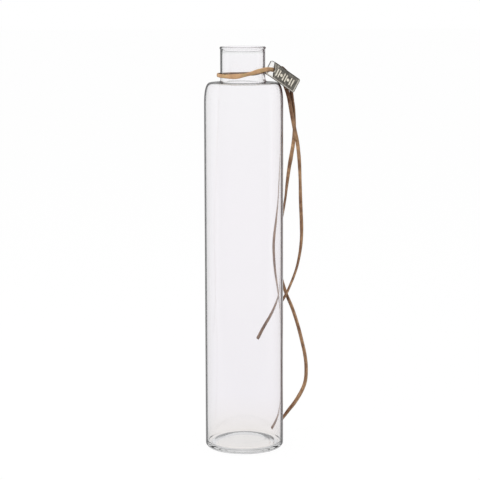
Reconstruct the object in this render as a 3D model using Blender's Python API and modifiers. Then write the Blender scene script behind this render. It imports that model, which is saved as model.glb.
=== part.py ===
"""Tall clear-glass bottle vase, with a flat leather lace tied round its neck and a small metal tag.

Everything is in metres with +Z up. The origin is the middle of the foot, on the surface it stands on.
The broad front of the tag faces -Y, and the tag lies to the right of the neck, at +X.
"""

import math

import bmesh
import bpy
from mathutils import Matrix, Vector

MM = 0.001

# Glass vessel
VASE_HEIGHT = 330.0 * MM
BODY_RADIUS = 32.1 * MM
BODY_WALL = 2.1 * MM
SHOULDER_HEIGHT = 303.6 * MM
SHOULDER_FALL = 1.1 * MM
SHOULDER_WALL = 2.1 * MM
CORNER_WIDTH = 5.0 * MM
CORNER_DROP = 13.0 * MM
CORNER_POWER = 2.1
NECK_RADIUS = 18.1 * MM
NECK_WALL = 1.6 * MM
NECK_FILLET = 2.5 * MM
RIM_BEAD_RADIUS = 1.35 * MM
RIM_OVERHANG = 0.55 * MM
HEEL_RADIUS = 3.0 * MM
FOOT_RING_WIDTH = 2.6 * MM
FOOT_HOLLOW = 1.6 * MM
BASE_THICKNESS = 3.8 * MM
FLOOR_RISE = 0.8 * MM
INNER_HEEL_RADIUS = 8.0 * MM
TURNED_SIDES = 64

# Leather lace, flat
LACE_WIDTH = 3.2 * MM
LACE_THICKNESS = 1.6 * MM
LACE_STEP = 3.0 * MM
TAIL_STEP = 6.0 * MM
TAIL_FLAT_TURN = 55.0
LACE_GAP = 0.3 * MM
KNOT_MIDDLE = (31.4 * MM, 2.8 * MM, 308.9 * MM)
KNOT_CORE_RADII = (3.4 * MM, 3.2 * MM, 4.4 * MM)
KNOT_WRAP_RADII = (3.8 * MM, 3.6 * MM)
KNOT_WRAP_TILT = math.radians(-25.0)
KNOT_HITCH_RADII = (3.4 * MM, 4.5 * MM)
KNOT_HITCH_TILT = math.radians(18.0)
KNOT_STUB_LENGTH = 4.0 * MM
KNOT_CORE_SIDES = 16
KNOT_CORE_RINGS = 10
KNOT_TURN_STEPS = 20

# Metal tag
TAG_LENGTH = 28.0 * MM
TAG_WIDTH = 11.9 * MM
TAG_THICKNESS = 1.1 * MM
TAG_CORNER_RADIUS = 1.3 * MM
TAG_BORDER = 0.9 * MM
TAG_RECESS = 0.2 * MM
TAG_HOLE_RADIUS = 2.1 * MM
TAG_HOLE_INSET = 3.4 * MM
TAG_SLOPE = math.radians(37.3)
TAG_REACH = 5.05 * MM
TAG_FORWARD = 11.8 * MM
TAG_SEAT_GAP = 0.3 * MM


def clear_scene():
    for thing in list(bpy.data.objects):
        bpy.data.objects.remove(thing, do_unlink=True)


def make_collection(name):
    collection = bpy.data.collections.new(name)
    bpy.context.scene.collection.children.link(collection)
    return collection


def make_material(name, colour, roughness, metallic=0.0, transmission=0.0):
    material = bpy.data.materials.new(name)
    material.use_nodes = True
    shader = material.node_tree.nodes["Principled BSDF"]
    shader.inputs["Base Color"].default_value = (*colour, 1.0)
    shader.inputs["Roughness"].default_value = roughness
    shader.inputs["Metallic"].default_value = metallic
    shader.inputs["Transmission Weight"].default_value = transmission
    return material


def place(name, data, collection, material):
    thing = bpy.data.objects.new(name, data)
    collection.objects.link(thing)
    data.materials.append(material)
    return thing


def pivot(name, location, collection):
    """An empty on a joint's axis, for the pieces that move together there."""
    empty = bpy.data.objects.new(name, None)
    empty.empty_display_size = 0.5 * NECK_RADIUS
    empty.location = location
    collection.objects.link(empty)
    return empty


def hang(piece, carrier):
    """Makes a piece move with its carrier, and leaves it where it is."""
    bpy.context.view_layer.update()
    piece.parent = carrier
    piece.matrix_parent_inverse = carrier.matrix_world.inverted()


def arc(centre, radii, start, end, steps):
    """Points on a quarter or other stretch of an ellipse in the (radius, height) plane, angles in degrees."""
    points = []
    for step in range(steps + 1):
        angle = math.radians(start + (end - start) * step / steps)
        points.append((centre[0] + radii[0] * math.cos(angle), centre[1] + radii[1] * math.sin(angle)))
    return points


def corner_curve(width, drop, steps):
    """The shoulder's corner from its top inwards edge down to the wall, a slightly full quarter ellipse."""
    middle_radius = BODY_RADIUS - CORNER_WIDTH
    middle_height = SHOULDER_HEIGHT - SHOULDER_FALL - CORNER_DROP
    points = []
    for step in range(steps + 1):
        angle = 0.5 * math.pi * step / steps
        across = math.sin(angle) ** (2.0 / CORNER_POWER)
        up = max(math.cos(angle), 0.0) ** (2.0 / CORNER_POWER)
        points.append((middle_radius + width * across, middle_height + drop * up))
    return points


# Glass vase: one hollow turned vessel, foot, body, shoulder, neck and rim in one wall

def outer_profile():
    """Rim, neck, shoulder, wall, heel and hollowed foot, from the top down to the axis."""
    bead_centre = (NECK_RADIUS + RIM_OVERHANG - RIM_BEAD_RADIUS, VASE_HEIGHT - RIM_BEAD_RADIUS)
    inner_start = math.degrees(math.acos((NECK_RADIUS - NECK_WALL - bead_centre[0]) / RIM_BEAD_RADIUS))
    outer_end = math.degrees(math.acos((NECK_RADIUS - bead_centre[0]) / RIM_BEAD_RADIUS))
    points = arc(bead_centre, (RIM_BEAD_RADIUS, RIM_BEAD_RADIUS), 360.0 - inner_start, -outer_end, 10)
    fillet_centre = (NECK_RADIUS + NECK_FILLET, SHOULDER_HEIGHT + NECK_FILLET)
    points += arc(fillet_centre, (NECK_FILLET, NECK_FILLET), 180.0, 270.0, 4)
    points += corner_curve(CORNER_WIDTH, CORNER_DROP, 8)
    points += arc((BODY_RADIUS - HEEL_RADIUS, HEEL_RADIUS), (HEEL_RADIUS, HEEL_RADIUS), 0.0, -90.0, 4)
    ring_radius = BODY_RADIUS - HEEL_RADIUS - FOOT_RING_WIDTH
    for share in (1.0, 0.85, 0.6, 0.3, 0.0):
        points.append((ring_radius * share, FOOT_HOLLOW * (1.0 - share * share)))
    return points


def inner_profile():
    """Inner floor, heel, wall, shoulder and neck, from the axis up to the rim."""
    inner_radius = BODY_RADIUS - BODY_WALL
    floor_radius = inner_radius - INNER_HEEL_RADIUS
    points = []
    for share in (0.0, 0.4, 0.75):
        rise = FLOOR_RISE * (1.0 - share * share)
        points.append((floor_radius * share, BASE_THICKNESS + rise))
    heel_centre = (floor_radius, BASE_THICKNESS + INNER_HEEL_RADIUS)
    points += arc(heel_centre, (INNER_HEEL_RADIUS, INNER_HEEL_RADIUS), 270.0, 360.0, 7)
    points += reversed(corner_curve(CORNER_WIDTH - BODY_WALL, CORNER_DROP - SHOULDER_WALL, 6))
    fillet_centre = (NECK_RADIUS + NECK_FILLET, SHOULDER_HEIGHT + NECK_FILLET)
    fillet_radii = (NECK_FILLET + NECK_WALL, NECK_FILLET + SHOULDER_WALL)
    points += arc(fillet_centre, fillet_radii, 270.0, 180.0, 5)
    return points


def turned(name, points, collection, material):
    mesh = bpy.data.meshes.new(name)
    corners = [(radius, 0.0, height) for radius, height in points]
    edges = [(index, index + 1) for index in range(len(corners) - 1)]
    mesh.from_pydata(corners, edges, [])
    thing = place(name, mesh, collection, material)
    screw = thing.modifiers.new("turn", "SCREW")
    screw.axis = "Z"
    screw.steps = TURNED_SIDES
    screw.render_steps = TURNED_SIDES
    screw.use_merge_vertices = True
    screw.merge_threshold = 0.00001
    screw.use_smooth_shade = True
    return thing


# Leather lace: one flat lace in four stretches, each a stadium section swept along a smooth route

def smooth_route(route, spacing):
    """Reads points from a smooth curve through the route, about one every spacing along it."""
    ends = [[2.0 * a - b for a, b in zip(route[0], route[1])]]
    ends.append([2.0 * a - b for a, b in zip(route[-1], route[-2])])
    full = [ends[0]] + [list(stop) for stop in route] + [ends[1]]
    points = []
    for index in range(1, len(full) - 2):
        before, start, end, after = full[index - 1:index + 3]
        steps = max(1, round((Vector(end[:3]) - Vector(start[:3])).length / spacing))
        for step in range(steps):
            t = step / steps
            points.append([
                0.5 * (2.0 * b + (c - a) * t + (2.0 * a - 5.0 * b + 4.0 * c - d) * t ** 2
                       + (3.0 * b - a - 3.0 * c + d) * t ** 3)
                for a, b, c, d in zip(before, start, end, after)
            ])
    points.append(full[-2])
    return points


def lace(name, route, spacing, twist_mode, flat_turn, collection, material):
    """A stretch of lace. Each stop of the route is x, y, z in mm and the turn of its flat side in degrees."""
    curve = bpy.data.curves.new(name, "CURVE")
    curve.dimensions = "3D"
    curve.twist_mode = twist_mode
    curve.extrude = 0.5 * (LACE_WIDTH - LACE_THICKNESS)
    curve.bevel_depth = 0.5 * LACE_THICKNESS
    curve.bevel_resolution = 1
    curve.use_fill_caps = True
    points = smooth_route(route, spacing / MM)
    spline = curve.splines.new("POLY")
    spline.points.add(len(points) - 1)
    for point, (x, y, z, turn) in zip(spline.points, points):
        point.co = (x * MM, y * MM, z * MM, 1.0)
        point.tilt = math.radians(flat_turn + turn)
    spline.use_smooth = True
    return place(name, curve, collection, material)


def lace_ring(name, radii, turn, collection, material):
    """A closed turn of lace round the knot, an ellipse that lies flat before it is turned."""
    curve = bpy.data.curves.new(name, "CURVE")
    curve.dimensions = "3D"
    curve.twist_mode = "Z_UP"
    curve.extrude = 0.5 * (LACE_WIDTH - LACE_THICKNESS)
    curve.bevel_depth = 0.5 * LACE_THICKNESS
    curve.bevel_resolution = 1
    spline = curve.splines.new("POLY")
    spline.points.add(KNOT_TURN_STEPS - 1)
    for step, point in enumerate(spline.points):
        angle = 2.0 * math.pi * step / KNOT_TURN_STEPS
        point.co = (radii[0] * math.cos(angle), radii[1] * math.sin(angle), 0.0, 1.0)
    spline.use_cyclic_u = True
    ring = place(name, curve, collection, material)
    ring.matrix_world = Matrix.Translation(KNOT_MIDDLE) @ turn
    return ring


def knot_stub(name, end, after, turn, twist_mode, flat_turn, collection, material):
    """The short stretch of lace that leaves the knot and meets a loop or tail end, face to face."""
    start = Vector(end)
    away = (Vector(after) - start).normalized()
    near = start - away * (LACE_GAP / MM)
    deep = near - away * (KNOT_STUB_LENGTH / MM)
    route = [(*deep, turn), (*near, turn)]
    return lace(name, route, LACE_STEP, twist_mode, flat_turn, collection, material)


def as_mesh(thing, collection, material):
    """Turns a curve object into a closed mesh object of the same name and place."""
    bpy.context.view_layer.update()
    graph = bpy.context.evaluated_depsgraph_get()
    mesh = bpy.data.meshes.new_from_object(thing.evaluated_get(graph))
    shell = bmesh.new()
    shell.from_mesh(mesh)
    bmesh.ops.remove_doubles(shell, verts=shell.verts, dist=0.000001)
    bmesh.ops.recalc_face_normals(shell, faces=shell.faces)
    shell.to_mesh(mesh)
    shell.free()
    name = thing.name
    turn = thing.matrix_world.copy()
    bpy.data.objects.remove(thing, do_unlink=True)
    solid = bpy.data.objects.new(name, mesh)
    collection.objects.link(solid)
    solid.matrix_world = turn
    return solid


def knot(name, parts, tools, material):
    """The tight knot: a core, one turn of lace round it, one hitch over it, and the four stretches it holds."""
    bpy.ops.mesh.primitive_uv_sphere_add(segments=KNOT_CORE_SIDES, ring_count=KNOT_CORE_RINGS, radius=1.0)
    core = bpy.context.object
    core.name = name
    core.data.name = name
    core.data.transform(Matrix.Diagonal((*KNOT_CORE_RADII, 1.0)))
    core.matrix_world = Matrix.Translation(KNOT_MIDDLE)
    for old in list(core.users_collection):
        old.objects.unlink(core)
    parts.objects.link(core)
    core.data.materials.append(material)
    wrap_turn = Matrix.Rotation(KNOT_WRAP_TILT, 4, "Y")
    hitch_turn = Matrix.Rotation(KNOT_HITCH_TILT, 4, "Z") @ Matrix.Rotation(0.5 * math.pi, 4, "X")
    hitch_turn = hitch_turn @ Matrix.Rotation(0.5 * math.pi, 4, "Y")
    pieces = [
        lace_ring("knot_wrap", KNOT_WRAP_RADII, wrap_turn, tools, material),
        lace_ring("knot_hitch", KNOT_HITCH_RADII, hitch_turn, tools, material),
    ]
    ends = [
        (NECK_LOOP_ROUTE[0], NECK_LOOP_ROUTE[1], "Z_UP", 0.0),
        (NECK_LOOP_ROUTE[-1], NECK_LOOP_ROUTE[-2], "Z_UP", 0.0),
        (SHORT_TAIL_ROUTE[0], SHORT_TAIL_ROUTE[1], "MINIMUM", TAIL_FLAT_TURN),
        (LONG_TAIL_ROUTE[0], LONG_TAIL_ROUTE[1], "MINIMUM", TAIL_FLAT_TURN),
    ]
    for index, (end, after, twist_mode, flat_turn) in enumerate(ends):
        label = f"knot_stub_{index + 1}"
        pieces.append(knot_stub(label, end[:3], after[:3], end[3], twist_mode, flat_turn, tools, material))
    for piece in pieces:
        solid = as_mesh(piece, tools, material)
        hang(solid, core)
        solid.hide_render = True
        solid.display_type = "WIRE"
        union = core.modifiers.new(solid.name, "BOOLEAN")
        union.operation = "UNION"
        union.object = solid
    return core


# Metal tag: a flat stamped plate with rounded corners, a raised border and a hole for the lace

def tag_hole_centre():
    """The hole's middle when the plate's lower edge rests on the shoulder's corner, right of the neck."""
    behind = TAG_FORWARD - 0.5 * TAG_THICKNESS
    across = (math.sin(TAG_SLOPE), math.cos(TAG_SLOPE))
    seat = 0.0
    for radius, height in corner_curve(CORNER_WIDTH, CORNER_DROP, 60):
        side = math.sqrt(radius * radius - behind * behind)
        seat = max(seat, side * across[0] + height * across[1])
    line = seat + TAG_SEAT_GAP + 0.5 * TAG_WIDTH
    side = NECK_RADIUS + TAG_REACH
    return Vector((side, -TAG_FORWARD, (line - side * across[0]) / across[1]))


def rounded_block(name, size, corner_radius, centre, collection):
    """A plate with its length along X, width along Z and thickness along Y, its four corners rounded."""
    mesh = bpy.data.meshes.new(name)
    block = bmesh.new()
    bmesh.ops.create_cube(block, size=1.0)
    bmesh.ops.scale(block, vec=size, verts=block.verts)
    corners = [edge for edge in block.edges if abs(edge.verts[0].co.y - edge.verts[1].co.y) > 0.5 * size[1]]
    bmesh.ops.bevel(block, geom=corners, offset=corner_radius, segments=5, profile=0.5, affect="EDGES")
    bmesh.ops.translate(block, vec=centre, verts=block.verts)
    block.to_mesh(mesh)
    block.free()
    thing = bpy.data.objects.new(name, mesh)
    collection.objects.link(thing)
    return thing


def tag(name, parts, tools, material):
    middle = (0.5 * TAG_LENGTH - TAG_HOLE_INSET, 0.0, 0.0)
    plate = rounded_block(name, (TAG_LENGTH, TAG_THICKNESS, TAG_WIDTH), TAG_CORNER_RADIUS, middle, parts)
    plate.data.materials.append(material)
    recess_size = (TAG_LENGTH - 2.0 * TAG_BORDER, 2.0 * TAG_RECESS, TAG_WIDTH - 2.0 * TAG_BORDER)
    recess_centre = (middle[0], -0.5 * TAG_THICKNESS, 0.0)
    recess = rounded_block("tag_recess", recess_size, TAG_CORNER_RADIUS - 0.5 * TAG_BORDER, recess_centre, tools)
    bpy.ops.mesh.primitive_cylinder_add(vertices=32, radius=TAG_HOLE_RADIUS, depth=4.0 * TAG_THICKNESS)
    hole = bpy.context.object
    hole.name = "tag_hole"
    hole.data.transform(Matrix.Rotation(0.5 * math.pi, 4, "X"))
    for old in list(hole.users_collection):
        old.objects.unlink(hole)
    tools.objects.link(hole)
    for cutter in (recess, hole):
        cutter.hide_render = True
        cutter.display_type = "WIRE"
        cutter.parent = plate
        cut = plate.modifiers.new(cutter.name, "BOOLEAN")
        cut.operation = "DIFFERENCE"
        cut.object = cutter
    plate.location = tag_hole_centre()
    plate.rotation_euler = (0.0, TAG_SLOPE, 0.0)
    return plate


NECK_LOOP_ROUTE = [
    (26.4, -2.6, 310.4, 0),
    (24.4, -7.6, 311.7, 0),
    (23.2, -11.8, 312.3, 0),
    (21.6, -13.8, 312.5, 0),
    (18.6, -15.4, 312.4, 0),
    (15.2, -16.6, 311.7, 0),
    (11.0, -17.7, 310.7, 0),
    (3.4, -19.4, 308.8, 0),
    (-5.1, -19.4, 307.7, 0),
    (-13.0, -15.6, 307.3, 0),
    (-18.8, -8.8, 307.3, 0),
    (-20.9, 0.0, 307.6, 0),
    (-18.7, 8.9, 307.8, 0),
    (-13.0, 15.7, 307.9, 0),
    (-5.1, 19.0, 307.8, 0),
    (3.6, 19.2, 307.8, 0),
    (10.2, 16.9, 308.2, 0),
    (16.5, 13.0, 308.9, 0),
    (22.0, 9.6, 309.4, 0),
    (26.0, 7.0, 309.5, 0),
]

SHORT_TAIL_ROUTE = [
    (31.8, 5.4, 302.6, 20),
    (33.4, 8.2, 298.6, 20),
    (35.6, 11.0, 292.8, 20),
    (37.3, 13.0, 286.2, 20),
    (38.8, 15.5, 277.8, 25),
    (41.5, 18.3, 263.6, 30),
    (44.3, 21.0, 250.2, 35),
    (45.9, 23.5, 235.8, 40),
    (46.8, 26.5, 218.9, 60),
    (47.3, 28.5, 201.8, 45),
    (48.2, 30.3, 180.5, 44),
    (48.1, 31.2, 167.6, 55),
    (46.6, 32.0, 154.7, 66),
    (44.0, 32.6, 141.9, 75),
    (40.3, 32.6, 129.1, 72),
    (36.1, 32.1, 120.0, 68),
    (29.7, 33.4, 110.2, 64),
    (24.2, 34.2, 101.2, 60),
    (18.4, 34.8, 92.8, 56),
    (12.1, 35.5, 82.7, 52),
]

LONG_TAIL_ROUTE = [
    (34.5, 5.0, 305.2, 45),
    (36.7, 8.0, 300.3, 45),
    (38.3, 10.8, 295.8, 45),
    (39.1, 13.0, 291.5, 45),
    (39.8, 14.8, 286.1, 45),
    (41.0, 17.6, 277.7, 48),
    (41.8, 21.9, 263.4, 54),
    (41.0, 24.2, 250.0, 40),
    (39.1, 26.3, 237.3, 10),
    (37.7, 28.0, 228.8, 0),
    (35.9, 31.0, 214.1, 10),
    (34.5, 34.0, 200.8, 30),
    (31.6, 35.6, 185.4, 45),
    (28.7, 36.0, 169.8, 55),
    (28.2, 36.0, 157.0, 55),
    (30.2, 35.9, 139.9, 55),
    (34.2, 36.0, 125.4, 50),
    (36.7, 36.0, 118.5, 48),
    (41.0, 34.8, 108.3, 45),
    (45.4, 32.5, 94.7, 42),
    (48.8, 32.0, 81.4, 42),
    (51.4, 31.7, 69.4, 42),
    (52.5, 31.5, 58.5, 42),
    (51.9, 31.5, 47.2, 40),
    (48.9, 31.7, 38.3, 36),
    (43.3, 32.0, 28.5, 34),
    (38.1, 32.3, 21.6, 36),
    (33.0, 32.9, 14.5, 40),
    (26.5, 33.6, 6.4, 44),
]


def main():
    clear_scene()
    parts = make_collection("bottle_vase")
    tools = make_collection("cutters")
    glass = make_material("clear_glass", (0.96, 0.97, 0.98), 0.02, transmission=1.0)
    leather = make_material("brown_leather", (0.32, 0.17, 0.09), 0.62)
    metal = make_material("worn_pewter", (0.30, 0.29, 0.27), 0.42, metallic=0.9)
    turned("glass_vase", inner_profile() + outer_profile(), parts, glass)
    lace_pivot = pivot("lace_pivot", (0.0, 0.0, SHOULDER_HEIGHT), parts)
    tag_pivot = pivot("tag_pivot", tag_hole_centre(), parts)
    hang(tag_pivot, lace_pivot)
    tied = [
        lace("neck_loop", NECK_LOOP_ROUTE, LACE_STEP, "Z_UP", 0.0, parts, leather),
        lace("lace_tail_short", SHORT_TAIL_ROUTE, TAIL_STEP, "MINIMUM", TAIL_FLAT_TURN, parts, leather),
        lace("lace_tail_long", LONG_TAIL_ROUTE, TAIL_STEP, "MINIMUM", TAIL_FLAT_TURN, parts, leather),
        knot("lace_knot", parts, tools, leather),
    ]
    for piece in tied:
        hang(piece, lace_pivot)
    hang(tag("metal_tag", parts, tools, metal), tag_pivot)


main()
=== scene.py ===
import math

import bmesh
import bpy
from mathutils import Matrix, Vector, noise


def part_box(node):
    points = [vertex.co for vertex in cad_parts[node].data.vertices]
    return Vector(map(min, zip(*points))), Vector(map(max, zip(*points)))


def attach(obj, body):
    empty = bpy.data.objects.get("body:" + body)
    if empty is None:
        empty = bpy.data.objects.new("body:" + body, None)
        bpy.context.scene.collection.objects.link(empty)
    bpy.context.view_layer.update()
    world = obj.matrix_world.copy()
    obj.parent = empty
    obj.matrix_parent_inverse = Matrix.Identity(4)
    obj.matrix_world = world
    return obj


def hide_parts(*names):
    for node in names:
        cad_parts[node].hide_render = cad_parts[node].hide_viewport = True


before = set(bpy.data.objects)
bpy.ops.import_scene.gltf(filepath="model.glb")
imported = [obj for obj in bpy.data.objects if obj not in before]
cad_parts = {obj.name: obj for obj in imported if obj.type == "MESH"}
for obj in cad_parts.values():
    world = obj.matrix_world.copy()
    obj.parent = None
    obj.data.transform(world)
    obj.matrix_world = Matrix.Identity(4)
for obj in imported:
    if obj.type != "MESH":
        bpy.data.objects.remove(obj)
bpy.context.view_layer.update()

MM = 0.001

# Camera
# A long lens stands 1.3 m in front of the bottle, a little above its lip, and looks slightly down at it.
# Places are in millimetres and turns in degrees.
camera_lens = 124.6
camera_place = (-3.26, -1345.5, 374.6)
camera_pitch = 8.543
camera_roll = 0.158
camera_data = bpy.data.cameras.new("camera")
camera_data.sensor_width = 36.0
camera_data.lens = camera_lens
camera_data.clip_end = 50.0
camera = bpy.data.objects.new("camera", camera_data)
bpy.context.scene.collection.objects.link(camera)
camera_turn = (Matrix.Rotation(math.radians(90.0 - camera_pitch), 4, "X")
               @ Matrix.Rotation(math.radians(-camera_roll), 4, "Z"))
camera.matrix_world = Matrix.Translation([value * MM for value in camera_place]) @ camera_turn
bpy.context.scene.camera = camera

# Bottle
# One blown vessel of clear glass, about 2 mm thick in the wall, with a domed floor over a hollow foot
# and a fire-polished lip. It is drawn up here ring by ring, from the middle of the foot up the outside,
# over the lip and down the inside to the middle of the floor.
bottle_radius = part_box("glass_vase")[1].x / MM
bottle_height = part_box("glass_vase")[1].z / MM
wall = 1.9
shoulder_wall = 1.1
shoulder_height = 301.5
shoulder_fall = 0.25
corner_width = 5.8
corner_drop = 19.5
corner_power = 2.7
neck_radius = 18.2
neck_wall = 1.6
neck_fillet = 2.5
bead_radius = 1.2
bead_overhang = 0.5
heel_radius = 3.0
foot_ring_width = 4.6
foot_hollow = 2.5
base_thickness = 3.6
floor_rise = 2.8
dome_power = 6
inner_heel = 2.5
bottle_sides = 256
dome_steps = 18
bead_steps = 18
# The neck was drawn a little to one side of the body's axis.
neck_drift = -0.65
drift_within = 26.0
drift_below = 2.0
drift_rise = 6.0
# The glass is painted dark where it is seen edge-on, a painted shade for the dark reflections at its outline:
# sooner where the tone is above 0, later below it.
neck_tone = 0.12
neck_foot_tone = -0.12
neck_tones_above = 1.0
neck_foot_top = 307.5
heel_height = 2.6
floor_tone = -0.06
floor_tone_from = 16.0
floor_tone_to = 25.0
# On the right side the painted edge shade sets in sooner, a painted shade for how the light falls on that
# side.
right_side_painted_shade = 0.045
rim_from = 0.66
rim_to = 0.73
glass_clear = (0.985, 0.985, 0.99, 1.0)
glass_painted_edge_shade = (0.03, 0.03, 0.03, 1.0)


def node(tree, kind, values=(), **settings):
    """A shader node with its settings, and constant values on named sockets."""
    made = tree.nodes.new(kind)
    for key, value in settings.items():
        setattr(made, key, value)
    for key, value in dict(values).items():
        made.inputs[key].default_value = value
    return made


def between(tree, socket, low, high):
    """A number that rises smoothly from 0 to 1 as the socket goes from low to high."""
    ramp = tree.nodes.new("ShaderNodeMapRange")
    ramp.interpolation_type = "SMOOTHSTEP"
    ramp.inputs["From Min"].default_value = low
    ramp.inputs["From Max"].default_value = high
    tree.links.new(socket, ramp.inputs["Value"])
    return ramp.outputs[0]


def attribute(tree, name):
    """A number that the mesh carries at each point."""
    return node(tree, "ShaderNodeAttribute", attribute_name=name).outputs["Fac"]


def maths(tree, operation, first, second=0.0):
    """One sum on numbers or sockets."""
    made = node(tree, "ShaderNodeMath", operation=operation)
    for value, socket in ((first, made.inputs[0]), (second, made.inputs[1])):
        if isinstance(value, float):
            socket.default_value = value
        else:
            tree.links.new(value, socket)
    return made.outputs[0]


def arc(centre, radii, start, end, steps):
    """Points on part of an ellipse in the (radius, height) plane, angles in degrees."""
    points = []
    for step in range(steps + 1):
        angle = math.radians(start + (end - start) * step / steps)
        points.append((centre[0] + radii[0] * math.cos(angle), centre[1] + radii[1] * math.sin(angle)))
    return points


def corner(width, drop, steps):
    """The shoulder's corner, from the wall up to the flat of the shoulder."""
    points = []
    for step in range(steps + 1):
        angle = 0.5 * math.pi * (1.0 - step / steps)
        across = math.sin(angle) ** (2.0 / corner_power)
        up = max(math.cos(angle), 0.0) ** (2.0 / corner_power)
        points.append((bottle_radius - corner_width + width * across,
                       shoulder_height - shoulder_fall - corner_drop + drop * up))
    return points


def straight(start, end, steps):
    """Points along a straight stretch, without its first one."""
    return [tuple(a + (b - a) * step / steps for a, b in zip(start, end)) for step in range(1, steps + 1)]


def painted_edge_shade_tone(radius, height):
    """How soon the glass's painted edge shade sets in at a place: about 0 outside, and -1, never dark, on
    most of the inside.
    """
    key = (round(radius, 1), round(height, 1))
    if key not in known_tones:
        nearest = min(range(len(profile)), key=lambda i: math.dist(profile[i], (radius, height)))
        outside = -min(max(heel_height - height, 0.0), 1.0)
        if height > shoulder_height + neck_tones_above:
            outside = neck_tone if height > neck_foot_top else neck_foot_tone
        on_floor = height < base_thickness + floor_rise
        inside = floor_tone if on_floor and floor_tone_from < radius < floor_tone_to else -1.0
        known_tones[key] = outside if nearest <= outer_points else inside
    return known_tones[key]


heel_start = bottle_radius - heel_radius
ring_start = heel_start - foot_ring_width
profile = []
for step in range(dome_steps):
    share = (step + 1) / dome_steps
    profile.append((ring_start * share, foot_hollow * (1.0 - share ** dome_power)))
profile += straight(profile[-1], (heel_start, 0.0), 2)
profile += arc((heel_start, heel_radius), (heel_radius, heel_radius), -90.0, 0.0, 10)[1:]
outer_corner = corner(corner_width, corner_drop, 20)
profile += straight(profile[-1], outer_corner[0], 12)
profile += outer_corner[1:]
fillet_centre = (neck_radius + neck_fillet, shoulder_height + neck_fillet)
outer_fillet = arc(fillet_centre, (neck_fillet, neck_fillet), 270.0, 180.0, 8)
profile += straight(profile[-1], outer_fillet[0], 4)
profile += outer_fillet[1:]
bead_centre = (neck_radius + bead_overhang - bead_radius, bottle_height - bead_radius)
bead_start = -math.degrees(math.acos((neck_radius - bead_centre[0]) / bead_radius))
bead_end = math.degrees(math.acos((neck_radius - neck_wall - bead_centre[0]) / bead_radius))
bead = arc(bead_centre, (bead_radius, bead_radius), bead_start, bead_end, bead_steps)
profile += straight(profile[-1], bead[0], 6)
profile += bead[1:]
outer_points = len(profile) - bead_steps // 2
inner_fillet_radii = (neck_fillet + neck_wall, neck_fillet + shoulder_wall)
inner_fillet = arc(fillet_centre, inner_fillet_radii, 180.0, 270.0, 8)
profile += straight(profile[-1], inner_fillet[0], 6)
profile += inner_fillet[1:]
inner_corner = corner(corner_width - wall, corner_drop - shoulder_wall, 16)
inner_corner.reverse()
profile += straight(profile[-1], inner_corner[0], 4)
profile += inner_corner[1:]
inner_radius = bottle_radius - wall
floor_radius = inner_radius - inner_heel
profile += straight(profile[-1], (inner_radius, base_thickness + inner_heel), 12)
profile += arc((floor_radius, base_thickness + inner_heel), (inner_heel, inner_heel), 0.0, -90.0, 14)[1:]
for step in range(1, dome_steps):
    share = 1.0 - step / dome_steps
    profile.append((floor_radius * share, base_thickness + floor_rise * (1.0 - share ** dome_power)))

bpy.ops.object.select_all(action="DESELECT")
start_radius, start_height = profile[0]
bpy.ops.mesh.primitive_circle_add(vertices=bottle_sides, radius=start_radius * MM, fill_type="TRIFAN",
                                  location=(0.0, 0.0, start_height * MM))
bottle = bpy.context.object
bottle.name = "bottle"
bpy.ops.object.transform_apply(location=True, rotation=True, scale=True)
bpy.ops.object.mode_set(mode="EDIT")
for (near_radius, near_height), (radius, height) in zip(profile, profile[1:]):
    rise = (height - near_height) * MM
    growth = radius / near_radius
    bpy.ops.mesh.extrude_region_move(TRANSFORM_OT_translate={"value": (0.0, 0.0, rise)})
    bpy.ops.transform.resize(value=(growth, growth, 1.0), center_override=(0.0, 0.0, 0.0))
bpy.ops.mesh.select_all(action="SELECT")
bpy.ops.mesh.normals_make_consistent(inside=False)
bpy.ops.object.mode_set(mode="OBJECT")
known_tones = {}
# Each point of the glass carries how soon the painted edge shade sets in there.
painted_edge_shade = bottle.data.attributes.new("painted_edge_shade", "FLOAT", "POINT")
for vertex, tone in zip(bottle.data.vertices, painted_edge_shade.data):
    radius = math.hypot(vertex.co.x, vertex.co.y) / MM
    height = vertex.co.z / MM
    to_the_right = max(vertex.co.x / MM, 0.0) / bottle_radius
    tone.value = painted_edge_shade_tone(radius, height) + right_side_painted_shade * to_the_right
for vertex in bottle.data.vertices:
    lift = min(max((vertex.co.z / MM - shoulder_height + drift_below) / drift_rise, 0.0), 1.0)
    if math.hypot(vertex.co.x, vertex.co.y) < drift_within * MM:
        vertex.co.x += neck_drift * MM * lift * lift * (3.0 - 2.0 * lift)
bpy.ops.object.shade_smooth()
glass = bpy.data.materials.new("clear_glass")
glass.use_nodes = True
tree = glass.node_tree
shader = tree.nodes["Principled BSDF"]
shader.inputs["Roughness"].default_value = 0.0
shader.inputs["IOR"].default_value = 1.5
shader.inputs["Transmission Weight"].default_value = 1.0
# Painted shade: the glass's colour goes dark where its surface is seen edge-on, in place of the dark
# reflections at its outline.
edge_on = node(tree, "ShaderNodeLayerWeight").outputs["Facing"]
painted_rim_shade = between(tree, maths(tree, "ADD", edge_on, attribute(tree, "painted_edge_shade")), rim_from, rim_to)
glass_tint_and_edge_shade = node(tree, "ShaderNodeMix", {6: glass_clear, 7: glass_painted_edge_shade}, data_type="RGBA")
tree.links.new(painted_rim_shade, glass_tint_and_edge_shade.inputs[0])
tree.links.new(glass_tint_and_edge_shade.outputs[2], shader.inputs["Base Color"])
bottle.data.materials.append(glass)
bottle.visible_shadow = False
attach(bottle, "vase")
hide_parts("glass_vase")

# Leather lace round the neck
# One flat lace, about 3 mm by 1.6 mm, cut from brown hide and left raw at its edges. It goes once
# round the neck, loosely, through the tag's hole at the front, and both ends meet in the knot.
lace_width = 3.2
lace_thickness = 1.6
lace_girth = 8.4
lace_sides = 28
corner_roundness = 0.5
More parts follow.
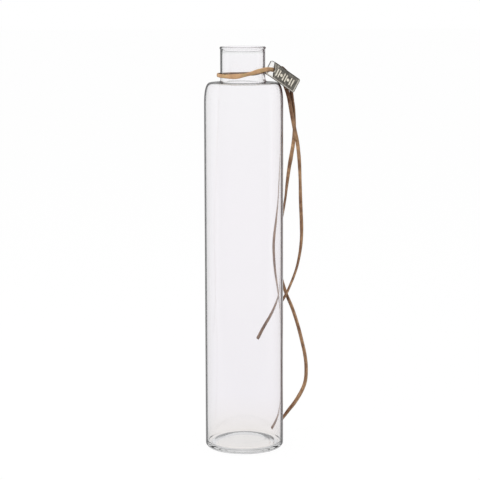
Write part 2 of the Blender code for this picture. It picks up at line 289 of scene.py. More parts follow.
# The hide is uneven: how often the lace swells, thickens or is nicked along its length, and by how much.
width_ripple = 0.11
width_swell = 0.07
depth_ripple = 0.16
depth_swell = 0.06
nick_ripple = 0.9
nick_depth = 0.05
edge_thinning = 0.10
cut_edge_from = 0.72
cut_edge_over = 0.24
cut_end = [(0.86, 0.09), (0.97, 0.06)]
curve_steps = 24
# Each stop of a route is x, y, z and the turn of the lace about its own length.
neck_route = [
    (29.6, 0.6, 309.7, 0), (28.2, -0.7, 310.0, 0), (26.4, -2.6, 310.4, 0), (24.0, -7.6, 311.9, 0),
    (22.6, -11.8, 312.4, 0), (20.6, -13.7, 312.5, 0), (18.6, -15.4, 312.4, 0),
    (15.2, -16.6, 311.7, 0), (11.0, -17.7, 310.7, 0), (3.4, -19.7, 308.5, 0),
    (-5.1, -19.6, 307.0, 0), (-13.1, -15.7, 306.7, 0), (-18.8, -8.8, 306.9, 0),
    (-20.9, 0.0, 307.2, 0), (-18.7, 8.9, 307.2, 0), (-13.0, 15.7, 307.1, 0), (-5.1, 19.4, 307.0, 0),
    (3.6, 19.7, 307.1, 0), (10.5, 17.2, 307.7, 0), (16.5, 13.0, 308.9, 0), (22.0, 9.6, 309.4, 0),
    (26.0, 7.0, 309.5, 0), (28.4, 4.9, 309.6, 0), (29.8, 3.6, 309.8, 0),
]
# Tones along the neck lace: pale along the front, partly the pale side of the hide and partly painted light;
# darker round the back of the neck, a painted shade.
neck_tones_and_shade = [(0.0, 0.1), (0.05, 0.7), (0.12, 1.15), (0.22, 1.1), (0.28, 0.85), (0.38, 1.0), (0.46, 0.9),
              (0.56, 0.2), (0.75, -0.2), (1.0, -0.1)]
neck_widths = [(0.0, 0.95), (0.05, 0.95), (0.107, 0.84), (0.16, 1.05), (0.20, 1.12), (0.27, 0.85),
               (0.335, 1.25), (0.42, 0.9), (0.50, 0.85), (1.0, 1.0)]
hide_colours = [(0.06, (0.075, 0.034, 0.019)), (0.26, (0.17, 0.075, 0.038)), (0.44, (0.30, 0.166, 0.098)),
                (0.60, (0.54, 0.32, 0.175)), (0.78, (0.72, 0.44, 0.235)), (0.94, (0.86, 0.60, 0.36))]
hide_middle = 0.42
hide_tone_share = 0.25
streak_pattern = (0.55, (0.35, 1.3, 1.0), 3.0)
streak_share = 0.55
cloud_pattern = (0.13, (1.0, 0.5, 1.0), 2.0)
cloud_share = 0.45
pore_pattern = (3.2, (1.0, 1.0, 1.0), 4.0, 0.7)
pore_share = 0.16
cut_edge_pale_and_highlight = 0.12
ochre = (0.62, 0.45, 0.21, 1.0)
ochre_scale = 0.21
ochre_patches = (0.50, 0.60)
ochre_on_tones = (0.2, 0.6)
ochre_share = 0.6
hide_gloss = 0.35
hide_roughness = 0.42
pore_roughness = 0.3
crease_scale = 2.6
crease_width = 0.12
crease_height = 0.35
pore_height = 0.9
streak_height = 1.2
hide_relief = 0.12
hide_relief_strength = 0.55


def read_stops(stops, share):
    """The value at a share of the length, from stops of (share, value)."""
    if share <= stops[0][0]:
        return stops[0][1]
    for (before, low), (after, high) in zip(stops, stops[1:]):
        if share <= after:
            step = (share - before) / (after - before)
            return low + (high - low) * step * step * (3.0 - 2.0 * step)
    return stops[-1][1]


def even_points(route, spacing):
    """Evenly spaced points on a smooth curve through the route, each x, y, z in mm and a turn in degrees."""
    first = [2.0 * a - b for a, b in zip(route[0], route[1])]
    last = [2.0 * a - b for a, b in zip(route[-1], route[-2])]
    full = [first] + [list(stop) for stop in route] + [last]
    fine = []
    for before, start, end, after in zip(full, full[1:], full[2:], full[3:]):
        for step in range(curve_steps):
            t = step / curve_steps
            fine.append([0.5 * (2.0 * b + (c - a) * t + (2.0 * a - 5.0 * b + 4.0 * c - d) * t ** 2
                                + (3.0 * b - a - 3.0 * c + d) * t ** 3)
                         for a, b, c, d in zip(before, start, end, after)])
    fine.append(full[-2])
    run = [0.0]
    for start, end in zip(fine, fine[1:]):
        run.append(run[-1] + math.dist(start[:3], end[:3]))
    count = round(run[-1] / spacing)
    points = []
    index = 0
    for step in range(count + 1):
        goal = run[-1] * step / count
        while index < len(fine) - 2 and run[index + 1] < goal:
            index += 1
        share = (goal - run[index]) / (run[index + 1] - run[index])
        points.append([a + (b - a) * share for a, b in zip(fine[index], fine[index + 1])])
    return points, run[-1]


def upright(tangent, place):
    """The width of a lace that stands on edge."""
    return Vector((0.0, 0.0, 1.0)) - tangent * tangent.z


def facing(tangent, place):
    """The width of a lace whose flat side faces the front."""
    return Vector((0.0, 1.0, 0.0)).cross(tangent)


def lace_strip(name, route, width_of, tone_and_shade_stops, width_stops=((0.0, 1.0),), spacing=0.55, seed=0.0):
    """A stretch of flat lace with cut ends. Tones go from -1, dark, to 1, pale: partly the hide's own paler
    and darker parts, partly painted light and shade.
    """
    points, length = even_points(route, spacing)
    shell = bmesh.new()
    tone_layer = shell.verts.layers.float.new("tone")
    edge_layer = shell.verts.layers.float.new("cut_edge")
    uv_layer = shell.loops.layers.uv.new("lace")
    rings = []
    places = {}
    last = len(points) - 1
    for index, (x, y, z, turn) in enumerate(points):
        middle = Vector((x, y, z))
        ahead = Vector(points[min(index + 1, last)][:3])
        behind = Vector(points[max(index - 1, 0)][:3])
        tangent = (ahead - behind).normalized()
        across = width_of(tangent, middle).normalized()
        across = Matrix.Rotation(math.radians(turn), 3, tangent) @ across
        outward = across.cross(tangent).normalized()
        along = length * index / last
        wider = width_swell * noise.noise(Vector((along * width_ripple, seed, 0.0)))
        deeper = depth_swell * noise.noise(Vector((along * depth_ripple, seed, 5.0)))
        half_width = 0.5 * lace_width * read_stops(width_stops, index / last) * (1.0 + wider)
        half_depth = 0.5 * lace_thickness * (1.0 + deeper)
        tone = read_stops(tone_and_shade_stops, index / last)
        end_rings = [(1.0, 0.0)]
        if index == 0:
            end_rings = [(scale, -push) for scale, push in cut_end] + end_rings
        if index == last:
            end_rings = end_rings + cut_end[::-1]
        for scale, push in end_rings:
            ring = []
            for side in range(lace_sides):
                angle = 2.0 * math.pi * side / lace_sides
                w = math.copysign(abs(math.cos(angle)) ** corner_roundness, math.cos(angle))
                n = math.copysign(abs(math.sin(angle)) ** corner_roundness, math.sin(angle))
                nick = nick_depth * noise.noise(Vector((along * nick_ripple, 7.0 * w, seed + 3.0 * n)))
                out = half_width * scale * w + math.copysign(nick * abs(w) ** 3, w)
                up = half_depth * scale * n * (1.0 - edge_thinning * abs(w) ** 4)
                vertex = shell.verts.new((middle + tangent * push + across * out + outward * up) * MM)
                at_edge = min(max((abs(w) - cut_edge_from) / cut_edge_over, 0.0), 1.0)
                vertex[tone_layer] = tone
                vertex[edge_layer] = at_edge if scale == 1.0 else 1.0
                places[vertex] = (along + push, side)
                ring.append(vertex)
            rings.append(ring)
    for near, far in zip(rings, rings[1:]):
        for side in range(lace_sides):
            other = (side + 1) % lace_sides
            face = shell.faces.new((near[side], near[other], far[other], far[side]))
            for loop, step in zip(face.loops, (side, side + 1, side + 1, side)):
                loop[uv_layer].uv = (places[loop.vert][0], lace_girth * step / lace_sides)
    for ring in (rings[0], rings[-1]):
        cap = shell.faces.new(ring)
        for loop in cap.loops:
            loop[uv_layer].uv = (places[loop.vert][0], lace_girth * places[loop.vert][1] / lace_sides)
    bmesh.ops.recalc_face_normals(shell, faces=shell.faces)
    mesh = bpy.data.meshes.new(name)
    shell.to_mesh(mesh)
    shell.free()
    strip = bpy.data.objects.new(name, mesh)
    bpy.context.scene.collection.objects.link(strip)
    mesh.shade_smooth()
    mesh.materials.append(hide)
    path = [tuple(value * MM for value in point[:3]) for point in points]
    return strip, path, length * MM


def patches(tree, coordinates, scale, stretch=(1.0, 1.0, 1.0), detail=3.0, roughness=0.55):
    """Soft cloudy patches, from 0 to 1, stretched along the piece."""
    mapping = node(tree, "ShaderNodeMapping", {"Scale": stretch})
    tree.links.new(coordinates, mapping.inputs["Vector"])
    made = node(tree, "ShaderNodeTexNoise", {"Scale": scale, "Detail": detail, "Roughness": roughness})
    tree.links.new(mapping.outputs[0], made.inputs["Vector"])
    return made.outputs["Fac"]


def colours(tree, socket, stops):
    """A colour read from stops of (place, colour)."""
    ramp = node(tree, "ShaderNodeValToRGB")
    ramp.color_ramp.elements[0].position = stops[0][0]
    ramp.color_ramp.elements[0].color = (*stops[0][1], 1.0)
    ramp.color_ramp.elements[1].position = stops[-1][0]
    ramp.color_ramp.elements[1].color = (*stops[-1][1], 1.0)
    for place, colour in stops[1:-1]:
        ramp.color_ramp.elements.new(place).color = (*colour, 1.0)
    tree.links.new(socket, ramp.inputs[0])
    return ramp.outputs["Color"]


def over(tree, below, colour, share):
    """A colour laid over the one below it, by its share."""
    made = node(tree, "ShaderNodeMix", {7: colour}, data_type="RGBA")
    tree.links.new(share, made.inputs[0])
    tree.links.new(below, made.inputs[6])
    return made.outputs[2]


hide = bpy.data.materials.new("brown_hide")
hide.use_nodes = True
tree = hide.node_tree
shader = tree.nodes["Principled BSDF"]
lengthways = node(tree, "ShaderNodeUVMap", uv_map="lace").outputs[0]
streaks = patches(tree, lengthways, *streak_pattern)
clouds = patches(tree, lengthways, *cloud_pattern)
pores = patches(tree, lengthways, *pore_pattern)
shade = maths(tree, "MULTIPLY_ADD", attribute(tree, "tone"), hide_tone_share)
shade.node.inputs[2].default_value = hide_middle
for part, share in ((streaks, streak_share), (clouds, cloud_share), (pores, pore_share)):
    offset = maths(tree, "SUBTRACT", part, 0.5)
    shade = maths(tree, "ADD", shade, maths(tree, "MULTIPLY", offset, share))
# Cut edges are paler: partly the raw edge's own colour, partly a painted highlight along them.
shade = maths(tree, "ADD", shade, maths(tree, "MULTIPLY", attribute(tree, "cut_edge"), cut_edge_pale_and_highlight))
golden = between(tree, patches(tree, lengthways, ochre_scale), *ochre_patches)
golden = maths(tree, "MULTIPLY", golden, between(tree, attribute(tree, "tone"), *ochre_on_tones))
golden = maths(tree, "MULTIPLY", golden, ochre_share)
tree.links.new(over(tree, colours(tree, shade, hide_colours), ochre, golden), shader.inputs["Base Color"])
roughness = maths(tree, "MULTIPLY_ADD", pores, pore_roughness)
roughness.node.inputs[2].default_value = hide_roughness
tree.links.new(roughness, shader.inputs["Roughness"])
shader.inputs["Specular IOR Level"].default_value = hide_gloss
cells = node(tree, "ShaderNodeTexVoronoi", {"Scale": crease_scale}, feature="DISTANCE_TO_EDGE")
tree.links.new(lengthways, cells.inputs["Vector"])
creases = between(tree, cells.outputs["Distance"], 0.0, crease_width)
relief = maths(tree, "MULTIPLY", creases, crease_height)
relief = maths(tree, "ADD", relief, maths(tree, "MULTIPLY", pores, pore_height))
relief = maths(tree, "ADD", relief, maths(tree, "MULTIPLY", streaks, streak_height))
bump = node(tree, "ShaderNodeBump", {"Strength": hide_relief_strength, "Distance": hide_relief * MM})
tree.links.new(relief, bump.inputs["Height"])
tree.links.new(bump.outputs[0], shader.inputs["Normal"])

neck_lace = lace_strip("neck_lace", neck_route, upright, neck_tones_and_shade, neck_widths, seed=1.0)[0]
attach(neck_lace, "lace")
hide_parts("neck_loop")

# Metal tag
# A plate of dark pewter, about 29 by 12 mm and 1 mm thick, stamped with a raised border and a plain row
# of beads and bars. The lace runs through its hole and has bent that end a little; that end is painted near
# white, a painted highlight.
tag_length = 29.5
tag_width = 12.5
tag_thickness = 1.1
tag_corner = 1.3
tag_border = 0.9
tag_recess = 0.2
tag_recess_slope = 0.2
tag_rounding = 0.14
tag_hole = 2.3
tag_hole_inset = 3.55
tag_hole_middle = (23.0, -11.8, 312.4)
tag_slope = 32.4
tag_lean = -28.0
tag_floor = -0.5 * tag_thickness + tag_recess
tag_left = -tag_hole_inset
tag_right = tag_length - tag_hole_inset
tag_bottom = -0.5 * tag_width
tag_top = 0.5 * tag_width
tag_cuts = 14
tag_cut_start = -2.6
tag_cut_spacing = 1.9
mark_count = 8
mark_start = 5.0
mark_spacing = 2.3
tag_bead_size = (1.3, 0.32, 1.3)
tag_bar_size = (1.15, 0.7, 6.4)
tag_bar_rounding = 0.2
bent_from = 3.2
bend = 0.16
tag_bow = 0.25
smooth_below = 35.0
pewter_colours = [(0.30, (0.055, 0.052, 0.044)), (0.44, (0.12, 0.114, 0.10)), (0.56, (0.20, 0.19, 0.168)),
                  (0.68, (0.52, 0.49, 0.42)), (0.80, (0.92, 0.88, 0.76))]
blotch_pattern = (0.55, (1.0, 0.6, 1.0), 4.0, 0.65)
blotch_share = 0.6
grain_pattern = (3.0, (1.0, 1.0, 1.0), 4.0, 0.7)
grain_share = 0.25
scratch_pattern = (1.6, (0.35, 4.0, 1.0), 2.0, 0.6)
scratch_share = 0.15
paler_towards_hole = (9.0, 1.0)
paler_share = 0.12
raised_painted_highlight = 0.30
# Stretches of the tag's length or width, in mm from its hole, over which one colour gives way to another:
# the painted highlight at the hole's end, painted shade along the bend, and the pale and dark bands at the
# edges.
painted_highlight_end = (0.97, 0.965, 0.95, 1.0)
highlight_until = (3.0, 3.5)
highlight_slant = 0.4
highlight_raggedness = 3.0
bend_painted_shade = (0.045, 0.038, 0.030, 1.0)
crease_begins = (2.6, 3.0)
crease_ends = (3.4, 4.1)
pale_edge_colour = (0.75, 0.72, 0.64, 1.0)
pale_edge_share = 0.75
pale_band_right = (tag_right - 1.7, tag_right - 1.2)
pale_band_bottom = (tag_bottom + 1.3, tag_bottom + 0.9)
dark_edge_colour = (0.07, 0.066, 0.055, 1.0)
dark_edge_share = 0.85
dark_band_left = (tag_left + 0.55, tag_left + 0.25)
dark_band_right = (tag_right - 0.75, tag_right - 0.45)
dark_band_top = (tag_top - 0.8, tag_top - 0.5)
dark_band_bottom = (tag_bottom + 0.45, tag_bottom + 0.25)
base_pewter_roughness = 0.16
tarnish_roughness = 0.2
grain_roughness = 0.2
grain_height = 0.5
pewter_relief = 0.08
pewter_relief_strength = 0.5


def new_primitive(name):
    """The primitive just added, named, with its place and size put into its mesh."""
    made = bpy.context.object
    made.name = name
    made.data.name = name
    bpy.ops.object.transform_apply(location=True, rotation=True, scale=True)
    return made


def pick(piece, faces=None, edges=None):
    """Opens the piece in edit mode with only the faces or edges selected for which the test holds."""
    bpy.context.tool_settings.mesh_select_mode = (False, edges is not None, faces is not None)
    for part in (piece.data.vertices, piece.data.edges, piece.data.polygons):
        part.foreach_set("select", [False] * len(part))
    if faces is not None:
        for face in piece.data.polygons:
            face.select = faces(face)
    if edges is not None:
        for edge in piece.data.edges:
            edge.select = edges(*[piece.data.vertices[end].co for end in edge.vertices])
    bpy.context.view_layer.objects.active = piece
    bpy.ops.object.mode_set(mode="EDIT")


def add_block(name, size, middle):
    """A block of the size, in mm, about its middle."""
    bpy.ops.object.select_all(action="DESELECT")
    bpy.ops.mesh.primitive_cube_add(size=1.0, location=Vector(middle) * MM, scale=Vector(size) * MM)
    return new_primitive(name)


def finish_with(piece, kind, **settings):
    """Adds a modifier and applies it."""
    modifier = piece.modifiers.new(kind.lower(), kind)
    for key, value in settings.items():
        setattr(modifier, key, value)
    bpy.context.view_layer.objects.active = piece
    bpy.ops.object.modifier_apply(modifier=modifier.name)


tag = add_block("tag", (tag_length, tag_thickness, tag_width), (0.5 * tag_length - tag_hole_inset, 0.0, 0.0))
pick(tag, edges=lambda one, two: abs(one.y - two.y) > 0.5 * tag_thickness * MM)
bpy.ops.mesh.bevel(offset=tag_corner * MM, segments=6, affect="EDGES")
bpy.ops.object.mode_set(mode="OBJECT")
pick(tag, faces=lambda face: face.normal.y < -0.9)
bpy.ops.mesh.inset(thickness=tag_border * MM, depth=0.0)
bpy.ops.mesh.inset(thickness=tag_recess_slope * MM, depth=-tag_recess * MM)
bpy.ops.object.mode_set(mode="OBJECT")
bpy.ops.object.select_all(action="DESELECT")
bpy.ops.mesh.primitive_cylinder_add(vertices=48, radius=tag_hole * MM, depth=4.0 * tag_thickness * MM,
                                    rotation=(0.5 * math.pi, 0.0, 0.0))
punch = new_primitive("tag_punch")
finish_with(tag, "BOOLEAN", operation="DIFFERENCE", object=punch, solver="EXACT")
bpy.data.objects.remove(punch, do_unlink=True)
finish_with(tag, "BEVEL", width=tag_rounding * MM, segments=3, limit_method="ANGLE",
            angle_limit=math.radians(smooth_below))
pick(tag, faces=lambda face: True)
for step in range(tag_cuts):
    cut = (tag_cut_start + tag_cut_spacing * step) * MM
    bpy.ops.mesh.select_all(action="SELECT")
    bpy.ops.mesh.bisect(plane_co=(cut, 0.0, 0.0), plane_no=(1.0, 0.0, 0.0))
bpy.ops.object.mode_set(mode="OBJECT")

pewter = bpy.data.materials.new("dark_pewter")
highlit_pewter = bpy.data.materials.new("pewter_painted_highlight")
for metal, raised in ((pewter, False), (highlit_pewter, True)):
    metal.use_nodes = True
    tree = metal.node_tree
    shader = tree.nodes["Principled BSDF"]
    shader.inputs["Metallic"].default_value = 1.0
    flat = node(tree, "ShaderNodeUVMap", uv_map="tag").outputs[0]
    blotches = patches(tree, flat, *blotch_pattern)
    grain = patches(tree, flat, *grain_pattern)
    scratches = patches(tree, flat, *scratch_pattern)
    tone = maths(tree, "MULTIPLY", blotches, blotch_share)
    tone = maths(tree, "ADD", tone, maths(tree, "MULTIPLY", grain, grain_share))
    tone = maths(tree, "ADD", tone, maths(tree, "MULTIPLY", scratches, scratch_share))
    apart = node(tree, "ShaderNodeSeparateXYZ")
    tree.links.new(flat, apart.inputs[0])
    length_place = apart.outputs["X"]
    width_place = apart.outputs["Y"]
    paler = between(tree, length_place, *paler_towards_hole)
    tone = maths(tree, "ADD", tone, maths(tree, "MULTIPLY", paler, paler_share))
    # Painted highlight: the raised beads and bars are painted paler than the plate.
    if raised:
        tone = maths(tree, "ADD", tone, raised_painted_highlight)
    # Painted highlight: the end at the hole is painted near white, with a ragged slanting border.
    along = maths(tree, "ADD", length_place, maths(tree, "MULTIPLY", width_place, highlight_slant))
    along = maths(tree, "ADD", along, maths(tree, "MULTIPLY", blotches, highlight_raggedness))
    tarnish = between(tree, along, *highlight_until)
    colour = node(tree, "ShaderNodeMix", {6: painted_highlight_end}, data_type="RGBA")
    tree.links.new(tarnish, colour.inputs[0])
    tree.links.new(colours(tree, tone, pewter_colours), colour.inputs[7])
    # Painted shade: a dark line across the tag where it bends, between the bright end and the pewter.
    bend_shade = maths(tree, "SUBTRACT", between(tree, along, *crease_begins), between(tree, along, *crease_ends))
    colour = over(tree, colour.outputs[2], bend_painted_shade, bend_shade)
    # The right end and the bottom edge are made paler.
    bright = maths(tree, "MAXIMUM", between(tree, length_place, *pale_band_right),
                   between(tree, width_place, *pale_band_bottom))
    colour = over(tree, colour, pale_edge_colour, maths(tree, "MULTIPLY", bright, pale_edge_share))
    # All four outer edges are made darker.
    dark_bands = maths(tree, "MAXIMUM", between(tree, length_place, *dark_band_left),
                  between(tree, length_place, *dark_band_right))
    dark_bands = maths(tree, "MAXIMUM", dark_bands, between(tree, width_place, *dark_band_top))
    dark_bands = maths(tree, "MAXIMUM", dark_bands, between(tree, width_place, *dark_band_bottom))
    colour = over(tree, colour, dark_edge_colour, maths(tree, "MULTIPLY", dark_bands, dark_edge_share))
    tree.links.new(colour, shader.inputs["Base Color"])
    roughness = maths(tree, "MULTIPLY", tarnish, tarnish_roughness)
    roughness = maths(tree, "ADD", roughness, maths(tree, "MULTIPLY", grain, grain_roughness))
    tree.links.new(maths(tree, "ADD", roughness, base_pewter_roughness), shader.inputs["Roughness"])
    relief = maths(tree, "ADD", maths(tree, "MULTIPLY", grain, grain_height), blotches)
    bump = node(tree, "ShaderNodeBump", {"Strength": pewter_relief_strength, "Distance": pewter_relief * MM})
    tree.links.new(relief, bump.inputs["Height"])
    tree.links.new(bump.outputs[0], shader.inputs["Normal"])
tag.data.materials.append(pewter)
tag.data.materials.append(highlit_pewter)

marks = []
for place in range(mark_count):
    x = mark_start + mark_spacing * place
    if place % 3 == 2:
        bpy.ops.object.select_all(action="DESELECT")
        bpy.ops.mesh.primitive_uv_sphere_add(segments=24, ring_count=12, radius=1.0,
                                             location=(x * MM, tag_floor * MM, 0.0),
                                             scale=[value * MM for value in tag_bead_size])
        marks.append(new_primitive("tag_bead"))
    else:
        marks.append(add_block("tag_bar", tag_bar_size, (x, tag_floor, 0.0)))
        finish_with(marks[-1], "BEVEL", width=tag_bar_rounding * MM, segments=3, limit_method="NONE")
for piece in marks:
    piece.data.materials.append(pewter)
    piece.data.materials.append(highlit_pewter)
    piece.data.polygons.foreach_set("material_index", [1] * len(piece.data.polygons))
bpy.ops.object.select_all(action="DESELECT")
for piece in [tag] + marks:
    piece.select_set(True)
bpy.context.view_layer.objects.active = tag
bpy.ops.object.join()
flat_map = tag.data.uv_layers.new(name="tag")
for loop in tag.data.loops:
    corner_point = tag.data.vertices[loop.vertex_index].co
    flat_map.data[loop.index].uv = (corner_point.x / MM, corner_point.z / MM)
for vertex in tag.data.vertices:
    along = vertex.co.x / MM
    vertex.co.y += bend * max(bent_from - along, 0.0) ** 2 / bent_from * MM
    vertex.co.y += tag_bow * math.sin(math.pi * (along + tag_hole_inset) / tag_length) * MM
tag.data.transform(Matrix.Translation(Vector(tag_hole_middle) * MM)
                   @ Matrix.Rotation(math.radians(tag_slope), 4, "Y")
                   @ Matrix.Rotation(math.radians(tag_lean), 4, Vector((1.0, 0.0, -1.0)).normalized()))
bpy.ops.object.shade_smooth_by_angle(angle=math.radians(smooth_below))
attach(tag, "tag")
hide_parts("metal_tag")

# Knot
# Both ends of the lace meet in one small tight knot on the right, behind the tag: one end makes two
# turns about both, and its tip is brought back over them and tucked in.
knot_middle = Vector((30.5, 2.8, 310.1))
knot_axis = Vector((0.713, 0.221, -0.664)).normalized()
knot_front = (Vector((0.0, -1.0, 0.0)) + knot_axis * knot_axis.y).normalized()
knot_side = knot_axis.cross(knot_front)
turn_steps = 16
turn_start = -1.9
turn_rise = 3.9
turn_radius = 3.0
turn_angle = -20.0
turn_step_angle = 45.0
# Painted shade: the knot and its strap get dark tones all over, for the shade they sit in behind the tag.
knot_shade_tones = [(0.0, -0.9), (0.5, -0.8), (1.0, -1.0)]


def about_knot(along, radius, angle):
    """A place from its distance along the knot's axis, its distance from it and its angle round it."""
    out = knot_front * math.cos(math.radians(angle)) + knot_side * math.sin(math.radians(angle))
    place = knot_middle + knot_axis * along + out * radius
    return (place.x, place.y, place.z, 0.0)


def wound(tangent, place):
    """The width of a lace wound on the knot, its flat side outwards."""
    out = place - knot_middle
    return tangent.cross(out - knot_axis * out.dot(knot_axis))


turn_route = [about_knot(-1.9, 1.0, -100.0), about_knot(-2.2, 2.2, -60.0)]
for step in range(turn_steps + 1):
    along = turn_start + turn_rise * step / turn_steps
    turn_route.append(about_knot(along, turn_radius, turn_angle + turn_step_angle * step))
turn_route += [about_knot(2.3, 2.1, 740.0), about_knot(2.2, 0.9, 785.0)]
strap_route = [about_knot(-4.3, 0.9, 38.0), about_knot(-4.2, 2.6, 38.0), about_knot(-2.7, 4.1, 40.0),
               about_knot(0.0, 4.7, 43.0), about_knot(2.7, 4.1, 46.0), about_knot(4.2, 2.6, 48.0),
               about_knot(4.3, 0.9, 48.0)]
knot = lace_strip("knot", turn_route, wound, knot_shade_tones, spacing=0.4, seed=11.0)[0]
strap = lace_strip("knot_strap", strap_route, wound, knot_shade_tones, spacing=0.4, seed=13.0)[0]
bpy.ops.object.select_all(action="DESELECT")
strap.select_set(True)
knot.select_set(True)
bpy.context.view_layer.objects.active = knot
bpy.ops.object.join()
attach(knot, "lace")
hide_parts("lace_knot")

# Hanging ends of the lace
# Below the knot the two ends hang free down the right-hand side and a little behind the bottle. They
# curl as the hide dried, cross twice, and are cut off square.
short_route = [
    (31.2, 3.6, 307.3, 20), (31.8, 5.4, 302.6, 20), (33.4, 8.2, 298.6, 20), (35.6, 11.0, 292.8, 20),
    (37.3, 13.0, 286.2, 20), (38.8, 15.5, 277.8, 25), (41.5, 18.3, 263.6, 30),
    (44.3, 21.0, 250.2, 35), (45.9, 23.5, 235.8, 40), (46.8, 26.5, 218.9, 60),
    (47.3, 28.5, 201.8, 45), (48.2, 30.3, 180.5, 44), (48.1, 31.2, 167.6, 55),
    (46.6, 32.0, 154.7, 66), (43.7, 32.6, 141.9, 75), (38.9, 32.6, 129.1, 76),
    (34.6, 32.1, 120.0, 74), (28.7, 33.4, 110.2, 68), (23.0, 34.2, 101.2, 62),
    (17.5, 34.8, 92.8, 57), (12.0, 35.5, 82.7, 54),
]
long_route = [
    (32.6, 4.2, 307.8, 45), (34.5, 5.0, 305.2, 45), (36.7, 8.0, 300.3, 45), (38.3, 10.8, 295.8, 45),
    (39.1, 13.0, 291.5, 45), (39.8, 14.8, 286.1, 45), (41.0, 17.6, 277.7, 48),
    (41.8, 21.9, 263.4, 54), (41.0, 24.2, 250.0, 40), (39.1, 26.3, 237.3, 20),
    (37.7, 28.0, 228.8, 35), (35.9, 31.0, 214.1, 62), (34.5, 34.0, 200.8, 78),
    (31.6, 35.6, 185.4, 55), (28.7, 36.0, 169.8, 35), (28.2, 36.0, 157.0, 30),
    (30.2, 35.9, 139.9, 40), (34.2, 36.0, 125.4, 50), (36.7, 36.0, 118.5, 48),
    (41.0, 34.8, 108.3, 45), (45.4, 32.5, 94.7, 42), (48.8, 32.0, 81.4, 42), (51.4, 31.7, 69.4, 42),
    (52.5, 31.5, 58.5, 42), (51.9, 31.5, 47.2, 40), (48.9, 31.7, 38.3, 36), (43.3, 32.0, 28.5, 34),
    (38.1, 32.3, 21.6, 45), (33.0, 32.9, 14.5, 66), (25.6, 33.8, 4.9, 74),
]
# Tones along the hanging ends: darkest next to the knot, a painted shade under it and the tag; elsewhere
# partly the hide's own uneven colour and partly painted light and shade.
short_tones_and_shade = [(0.0, -0.9), (0.06, -0.7), (0.14, 0.05), (0.25, 0.35), (0.42, 0.25), (0.6, 0.0), (0.78, 0.0),
               (0.84, -0.45), (1.0, -0.45)]
long_tones_and_shade = [(0.0, -0.9), (0.05, -0.7), (0.12, 0.05), (0.22, 0.35), (0.30, 0.1), (0.34, -0.2), (0.55, -0.2),
              (0.6, 0.1), (0.9, 0.25), (0.94, -0.3), (1.0, -0.3)]
for name, route, end_tones_and_shade, node_name, seed in (
        ("lace_end_short", short_route, short_tones_and_shade, "lace_tail_short", 21.0),
        ("lace_end_long", long_route, long_tones_and_shade, "lace_tail_long", 31.0)):
    hanging, path, length = lace_strip(name, route, facing, end_tones_and_shade, spacing=0.6, seed=seed)
    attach(hanging, "lace")
    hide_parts(node_name)

# Floor and backdrop
# A plain pale table, so wide that its edge never shows, under a plain pale room with one soft lamp at
# the front left. Seen straight through the glass both are nearly white. A reflection on the glass, or
# one inside its wall, meets its own grey of them, and so the edges and rings of clear glass stand out.
table_size = 30.0
table_gap = 0.2
# The table's colours as seen through the glass, from right behind the bottle to far away: a faint tint of its
# own, with painted shade making it darker towards the bottle.
table_colours_and_shade = [(0.01, (0.87, 0.835, 0.805)), (0.03, (0.915, 0.885, 0.90)), (0.045, (0.93, 0.905, 0.935)),
                 (0.165, (0.965, 0.94, 0.965)), (0.4, (0.985, 0.96, 0.985)), (0.9, (1.0, 0.985, 1.0))]
table_shade_reach = 4.0
table_gain = 1.05
table_white = 1.03
table_dull = 0.4
table_shadow_share = 0.08
table_matt = (0.9, 0.9, 0.9, 1.0)
room_white = 1.0
room_dull = 0.6
# Greys that reflections meet: near is the camera's side of the bottle, and far the side behind it.
near_table_on_glass = 0.9
near_table_in_wall = 0.25
near_table_deep = 0.4
near_room_on_glass = 0.95
near_room_in_wall = 0.3
near_room_deep = 0.4
far_table_on_glass = 0.35
far_table_in_wall = 0.85
far_room_on_glass = 0.35
far_room_in_wall = 0.95
far_deep = 0.8
warm_side_on_glass = (0.43, 0.30, 0.32, 1.0)
strip_on_glass = 0.95
ceiling_through_glass = 0.25
# Where one of them gives way to the next: on the table in metres, in the room by direction.
table_far_side = (-0.2, 0.1)
table_right_side = (0.0, 0.15)
strip_left_edge = (0.0, 0.05)
strip_right_edge = (0.60, 0.45)
room_far_side = (-0.4, 0.2)
room_right_side = (0.1, 0.4)
ceiling_from = (0.10, 0.35)
light_bounces = 64
lamp_size = (0.6, 0.9)
lamp_energy = 14.0
lamp_place = (-0.9, -1.1, 1.2)
lamp_aim = (0.0, 0.0, 0.2)


def mixed(tree, factor, first, second):
    """A colour, or a grey given as one number, from the first to the second as the factor rises to 1."""
    mix = node(tree, "ShaderNodeMix", data_type="RGBA")
    tree.links.new(factor, mix.inputs[0])
    for value, socket in ((first, mix.inputs[6]), (second, mix.inputs[7])):
        if isinstance(value, float):
            socket.default_value = (value, value, value, 1.0)
        elif isinstance(value, tuple):
            socket.default_value = value
        else:
            tree.links.new(value, socket)
    return mix.outputs[2]


def at_least(tree, count_socket, count):
    """1 once a whole number has reached the count, and 0 before."""
    return between(tree, count_socket, count - 0.6, count - 0.4)


def see_studio(tree, through_glass, in_wall, deep, on_glass, dull, plain):
    """What each ray meets: plain is the bare background, dull lights the dull surfaces, and the glass
    shows the rest. Deep is for rays turned back twice, or that went through more than one wall."""
    path = tree.nodes.new("ShaderNodeLightPath")
    turned_back = at_least(tree, path.outputs["Glossy Depth"], 1)
    turned_back_again = at_least(tree, path.outputs["Glossy Depth"], 2)
    entered = at_least(tree, path.outputs["Transmission Depth"], 1)
    crossed = at_least(tree, path.outputs["Transmission Depth"], 3)
    inside = mixed(tree, crossed, in_wall, deep)
    inside = mixed(tree, turned_back_again, inside, deep)
    inside = mixed(tree, turned_back, through_glass, inside)
    shiny = mixed(tree, entered, on_glass, inside)
    unseen = mixed(tree, path.outputs["Is Glossy Ray"], dull, shiny)
    return mixed(tree, path.outputs["Is Camera Ray"], unseen, plain)


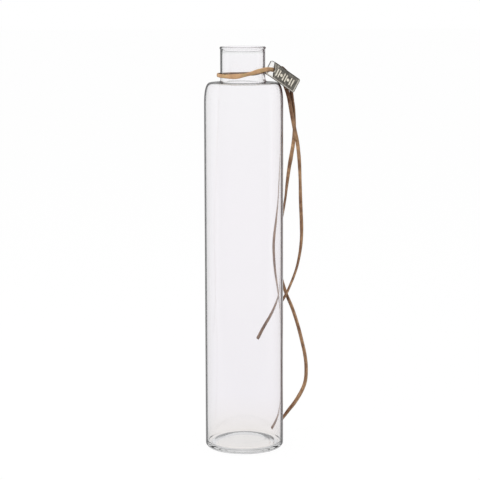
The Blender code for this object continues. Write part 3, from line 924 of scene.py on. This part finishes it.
bpy.ops.object.select_all(action="DESELECT")
bpy.ops.mesh.primitive_plane_add(size=table_size, location=(0.0, 0.0, -table_gap * MM))
floor = bpy.context.object
floor.name = "floor"
pale = bpy.data.materials.new("pale_table")
pale.use_nodes = True
tree = pale.node_tree
tree.nodes.clear()
output = tree.nodes.new("ShaderNodeOutputMaterial")
glow = node(tree, "ShaderNodeEmission", {"Strength": 1.0})
place = node(tree, "ShaderNodeTexCoord").outputs["Object"]
distance = node(tree, "ShaderNodeVectorMath", operation="LENGTH")
tree.links.new(place, distance.inputs[0])
# Painted shade: seen through the glass, the table is darker the nearer it lies to the bottle.
away = maths(tree, "DIVIDE", distance.outputs["Value"], table_shade_reach)
table_through = node(tree, "ShaderNodeVectorMath", {"Scale": table_gain}, operation="SCALE")
tree.links.new(colours(tree, away, table_colours_and_shade), table_through.inputs[0])
apart = node(tree, "ShaderNodeSeparateXYZ")
tree.links.new(place, apart.inputs[0])
far_side = between(tree, apart.outputs["Y"], *table_far_side)
right_side = between(tree, apart.outputs["X"], *table_right_side)
slant = maths(tree, "DIVIDE", apart.outputs["X"], apart.outputs["Y"])
strip = maths(tree, "MULTIPLY", between(tree, slant, *strip_left_edge),
              between(tree, slant, *strip_right_edge))
far_table = mixed(tree, right_side, far_table_on_glass, warm_side_on_glass)
far_table = mixed(tree, strip, far_table, strip_on_glass)
table_on_glass = mixed(tree, far_side, near_table_on_glass, far_table)
table_in_wall = mixed(tree, far_side, near_table_in_wall, far_table_in_wall)
table_deep = mixed(tree, far_side, near_table_deep, far_deep)
table_seen = see_studio(tree, table_through.outputs[0], table_in_wall, table_deep, table_on_glass,
                        table_dull, table_white)
tree.links.new(table_seen, glow.inputs["Color"])
matt = node(tree, "ShaderNodeBsdfDiffuse", {"Color": table_matt})
blend = node(tree, "ShaderNodeMixShader", {"Fac": table_shadow_share})
tree.links.new(glow.outputs[0], blend.inputs[1])
tree.links.new(matt.outputs[0], blend.inputs[2])
tree.links.new(blend.outputs[0], output.inputs["Surface"])
floor.data.materials.append(pale)

world = bpy.data.worlds.new("studio")
bpy.context.scene.world = world
world.use_nodes = True
world.cycles.sampling_method = "NONE"
tree = world.node_tree
background = tree.nodes["Background"]
direction = node(tree, "ShaderNodeSeparateXYZ")
tree.links.new(node(tree, "ShaderNodeTexCoord").outputs["Generated"], direction.inputs[0])
ceiling = between(tree, direction.outputs["Z"], *ceiling_from)
room_through = mixed(tree, ceiling, 1.0, ceiling_through_glass)
far_side = between(tree, direction.outputs["Y"], *room_far_side)
right_side = between(tree, direction.outputs["X"], *room_right_side)
far_room = mixed(tree, right_side, far_room_on_glass, warm_side_on_glass)
room_on_glass = mixed(tree, far_side, near_room_on_glass, far_room)
room_in_wall = mixed(tree, far_side, near_room_in_wall, far_room_in_wall)
room_deep = mixed(tree, far_side, near_room_deep, far_deep)
room_seen = see_studio(tree, room_through, room_in_wall, room_deep, room_on_glass, room_dull, room_white)
tree.links.new(room_seen, background.inputs["Color"])

key_data = bpy.data.lights.new("key", "AREA")
key_data.shape = "RECTANGLE"
key_data.size, key_data.size_y = lamp_size
key_data.energy = lamp_energy
key = bpy.data.objects.new("key", key_data)
bpy.context.scene.collection.objects.link(key)
key.location = lamp_place
key.rotation_mode = "QUATERNION"
key.rotation_quaternion = (Vector(lamp_aim) - key.location).to_track_quat("-Z", "Y")
key.visible_glossy = False
key.visible_transmission = False

scene = bpy.context.scene
scene.view_settings.view_transform = "Standard"
scene.cycles.max_bounces = light_bounces
scene.cycles.transmission_bounces = light_bounces
scene.cycles.glossy_bounces = light_bounces
scene.cycles.caustics_refractive = True
scene.cycles.caustics_reflective = False
